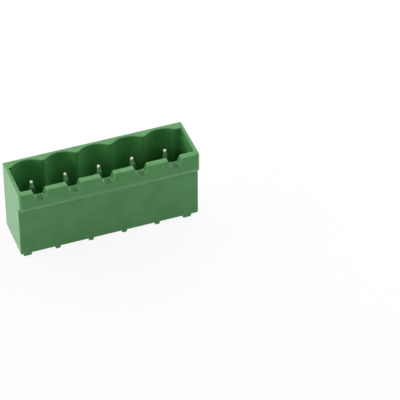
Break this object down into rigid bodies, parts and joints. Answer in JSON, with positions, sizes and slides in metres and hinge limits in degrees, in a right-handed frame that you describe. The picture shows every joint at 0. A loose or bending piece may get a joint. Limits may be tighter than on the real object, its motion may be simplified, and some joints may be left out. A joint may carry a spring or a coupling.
{
  "type": "pluggable terminal block board header",
  "caption": "Right-angle board header of a pluggable terminal block: open-mouthed moulded shroud with coding notches and a latching lip, and bent square contact pins for soldering.",
  "frame": {"origin": "centre of the overall outline in X and Y, at the tips of the standing ribs of the back face", "axes": "+X along the contact row from the first pin to the last, +Y out of the board face along the solder legs, +Z out of the mouth towards the plug"},
  "size_m": [0.0272, 0.012, 0.0121],
  "materials": {
    "housing_plastic": "smooth moulded, satin gloss",
    "tinned_pin": "bright tin plating on square wire"
  },
  "bodies": {
    "root": {"housing": "housing_plastic", "contact_pin_1": "tinned_pin", "contact_pin_2": "tinned_pin", "contact_pin_3": "tinned_pin", "contact_pin_4": "tinned_pin", "contact_pin_5": "tinned_pin"}
  },
  "joints": []
}
